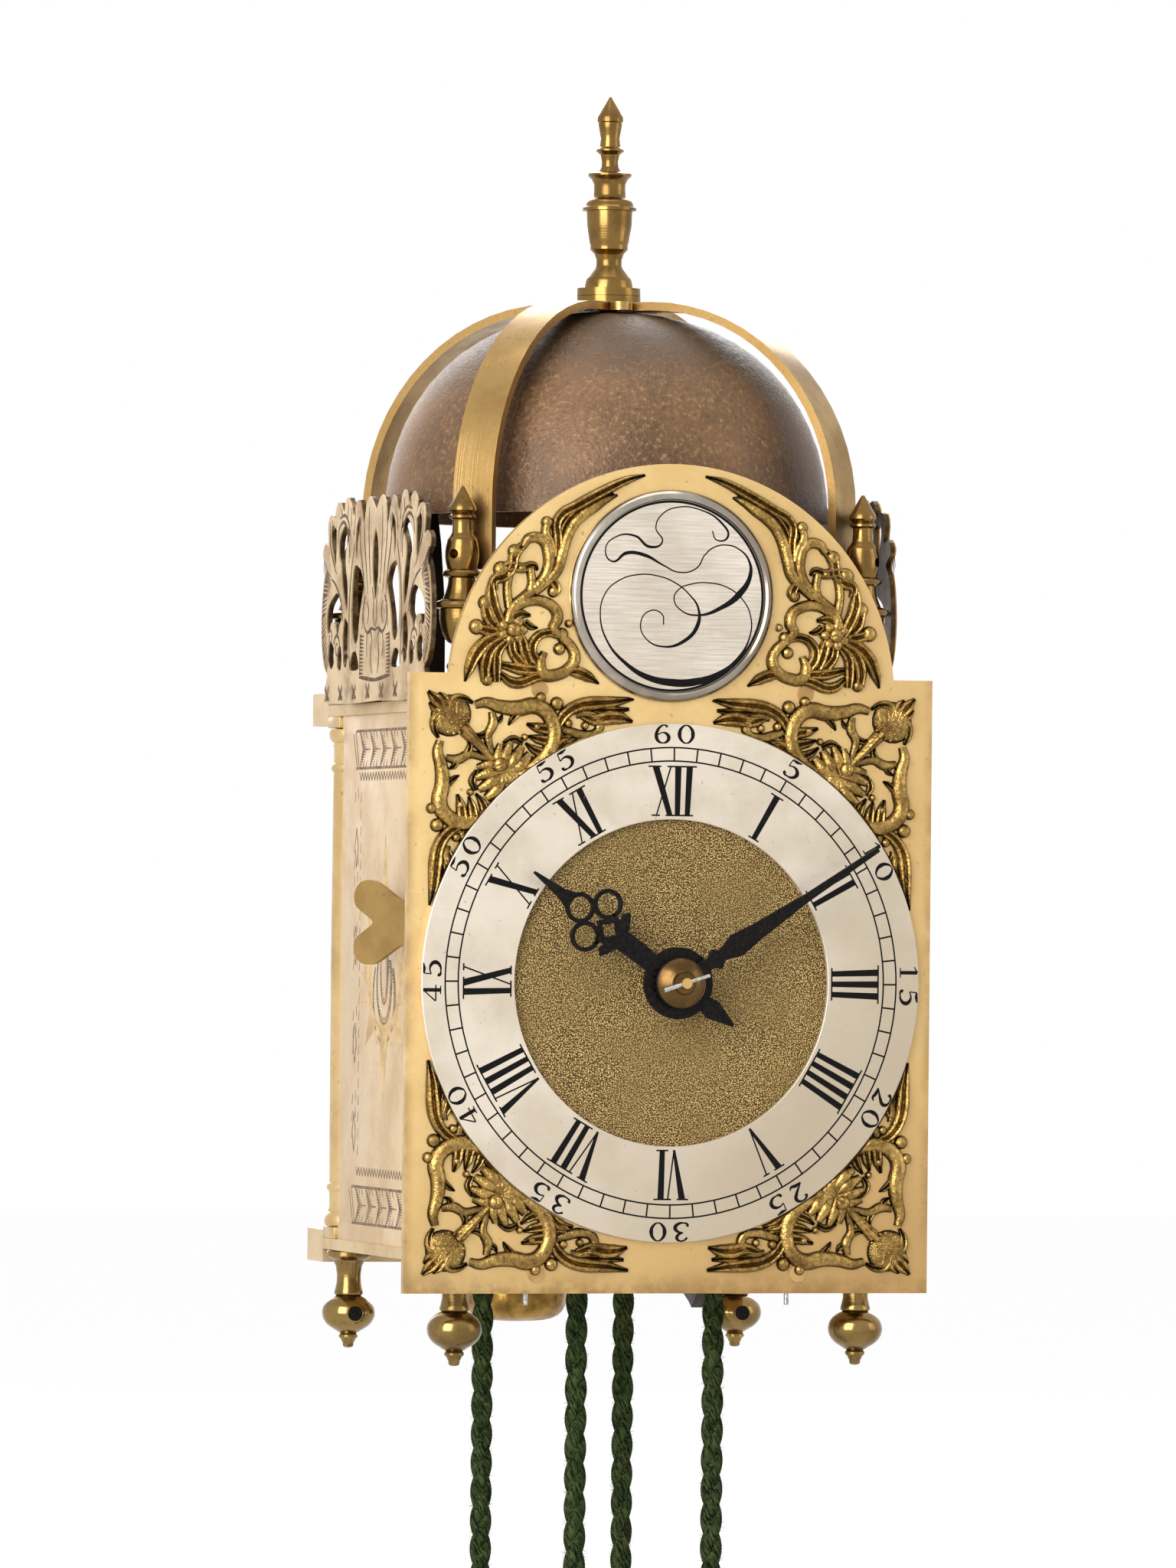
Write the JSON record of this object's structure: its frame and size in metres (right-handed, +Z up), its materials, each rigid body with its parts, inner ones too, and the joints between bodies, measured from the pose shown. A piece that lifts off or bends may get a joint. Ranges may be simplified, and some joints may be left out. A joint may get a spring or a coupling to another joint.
{
  "type": "lantern clock",
  "caption": "Small posted brass lantern clock with an arched dial, a strap-held bell, a rear pendulum and rope-driven trains, hung from an iron hoop.",
  "frame": {"origin": "underside of the iron hoop at its rear middle, where the wall hook lifts it", "axes": "+Z up, -Y out of the dial, +X to the right as the dial is read"},
  "size_m": [0.114, 0.1266, 0.3322],
  "materials": {
    "brass": "polished, lightly tarnished",
    "pale_brass": "engraved, pale",
    "dark_brass": "cast and chased",
    "matted_brass": "matted centre, plain ground",
    "silvered": "silvered brass",
    "blued_steel": "blackened steel",
    "steel": "bright steel",
    "iron": "forged iron",
    "bell_bronze": "dark sand-cast bell metal",
    "rope": "twisted cord"
  },
  "bodies": {
    "frame": {"top_plate": "brass", "bottom_plate": "brass", "pillars_front": "brass", "pillars_rear": "brass", "finials_front": "brass", "finials_rear": "brass", "feet_front": "dark_brass", "feet_rear": "dark_brass", "fret_left": "pale_brass", "fret_right": "dark_brass", "dial_plate": "matted_brass", "dial_pins": "steel", "chapter_ring": "silvered", "arch_boss": "silvered", "spandrels_upper": "dark_brass", "spandrels_lower": "dark_brass", "arch_spandrels": "dark_brass", "spandrel_screws": "brass", "verge_cocks": "brass", "crown_bridge": "brass", "potence": "brass", "front_bar": "brass", "middle_bar": "brass", "rear_bar": "brass", "hammer_cocks": "brass", "bell": "bell_bronze", "bell_straps": "brass", "bell_finial": "brass", "wall_bars": "pale_brass", "hanging_hoop": "iron", "wall_spurs": "iron", "going_rope": "rope", "strike_rope": "rope", "going_rope_left": "rope", "going_rope_right": "rope", "strike_rope_left": "rope", "strike_rope_right": "rope", "rope_knots": "rope"},
    "minute": {"centre_arbor": "brass", "minute_hand": "blued_steel", "hand_collet": "brass", "hand_pin": "steel"},
    "hour": {"hour_wheel": "brass", "hour_hand": "blued_steel"},
    "minute_wheel": {"minute_wheel": "brass"},
    "going_great": {"going_great_wheel": "brass"},
    "contrate": {"contrate_wheel": "brass"},
    "crown": {"crown_wheel": "brass"},
    "pendulum": {"verge": "steel", "pendulum_rod": "steel", "pendulum_bob": "brass"},
    "strike_great": {"strike_great_wheel": "brass"},
    "hoop": {"hoop_wheel": "brass"},
    "fly": {"fly": "brass"},
    "count": {"count_wheel": "brass"},
    "hammer": {"hammer": "blued_steel"},
    "door_left": {"door_left": "pale_brass", "handle_left": "brass"},
    "door_right": {"door_right": "pale_brass", "handle_right": "brass"}
  },
  "joints": [
    {"name": "minute_turn", "type": "hinge", "parent": "frame", "child": "minute", "pos_m": [0, -0.1095, -0.0631], "axis": [0, 1, 0], "continuous": true},
    {"name": "hour_turn", "type": "hinge", "parent": "frame", "child": "hour", "pos_m": [0, -0.1095, -0.0631], "axis": [0, 1, 0], "continuous": true},
    {"name": "minute_wheel_turn", "type": "hinge", "parent": "frame", "child": "minute_wheel", "pos_m": [0, -0.1045, -0.0781], "axis": [0, 1, 0], "continuous": true},
    {"name": "going_great_turn", "type": "hinge", "parent": "frame", "child": "going_great", "pos_m": [0.0008, -0.0909, -0.08809], "axis": [0, 1, 0], "continuous": true},
    {"name": "contrate_turn", "type": "hinge", "parent": "frame", "child": "contrate", "pos_m": [-0.0045, -0.0715, -0.0469], "axis": [0, 1, 0], "continuous": true},
    {"name": "crown_turn", "type": "hinge", "parent": "frame", "child": "crown", "pos_m": [-0.0045, -0.06644, -0.0031], "axis": [0, 0, 1], "continuous": true},
    {"name": "pendulum_swing", "type": "hinge", "parent": "frame", "child": "pendulum", "pos_m": [-0.0045, -0.0094, 0.0071], "axis": [0, 1, 0], "range_deg": [-8, 8]},
    {"name": "strike_great_turn", "type": "hinge", "parent": "frame", "child": "strike_great", "pos_m": [-0.003, -0.0343, -0.0881], "axis": [0, 1, 0], "continuous": true},
    {"name": "hoop_turn", "type": "hinge", "parent": "frame", "child": "hoop", "pos_m": [-0.003, -0.0343, -0.0631], "axis": [0, 1, 0], "continuous": true},
    {"name": "fly_turn", "type": "hinge", "parent": "frame", "child": "fly", "pos_m": [0.00784, -0.0343, -0.05106], "axis": [0, 1, 0], "continuous": true},
    {"name": "count_turn", "type": "hinge", "parent": "frame", "child": "count", "pos_m": [-0.003, -0.016, -0.0587], "axis": [0, 1, 0], "continuous": true},
    {"name": "hammer_lift", "type": "hinge", "parent": "frame", "child": "hammer", "pos_m": [-0.036, -0.05265, -0.0511], "axis": [0, 1, 0], "range_deg": [0, 10]},
    {"name": "door_left_open", "type": "hinge", "parent": "frame", "child": "door_left", "pos_m": [-0.047, -0.0221, -0.0631], "axis": [0, 0, -1], "range_deg": [0, 100]},
    {"name": "door_right_open", "type": "hinge", "parent": "frame", "child": "door_right", "pos_m": [0.047, -0.0221, -0.0631], "axis": [0, 0, 1], "range_deg": [0, 100]}
  ],
  "couplings": [
    {"joint": "hour_turn", "follows": "minute_turn", "ratio": 0.083333},
    {"joint": "minute_wheel_turn", "follows": "minute_turn", "ratio": -0.33333},
    {"joint": "going_great_turn", "follows": "minute_turn", "ratio": -0.16667},
    {"joint": "contrate_turn", "follows": "minute_turn", "ratio": -12},
    {"joint": "crown_turn", "follows": "minute_turn", "ratio": -120},
    {"joint": "hoop_turn", "follows": "strike_great_turn", "ratio": -6},
    {"joint": "fly_turn", "follows": "strike_great_turn", "ratio": 48},
    {"joint": "count_turn", "follows": "strike_great_turn", "ratio": -0.076923}
  ]
}
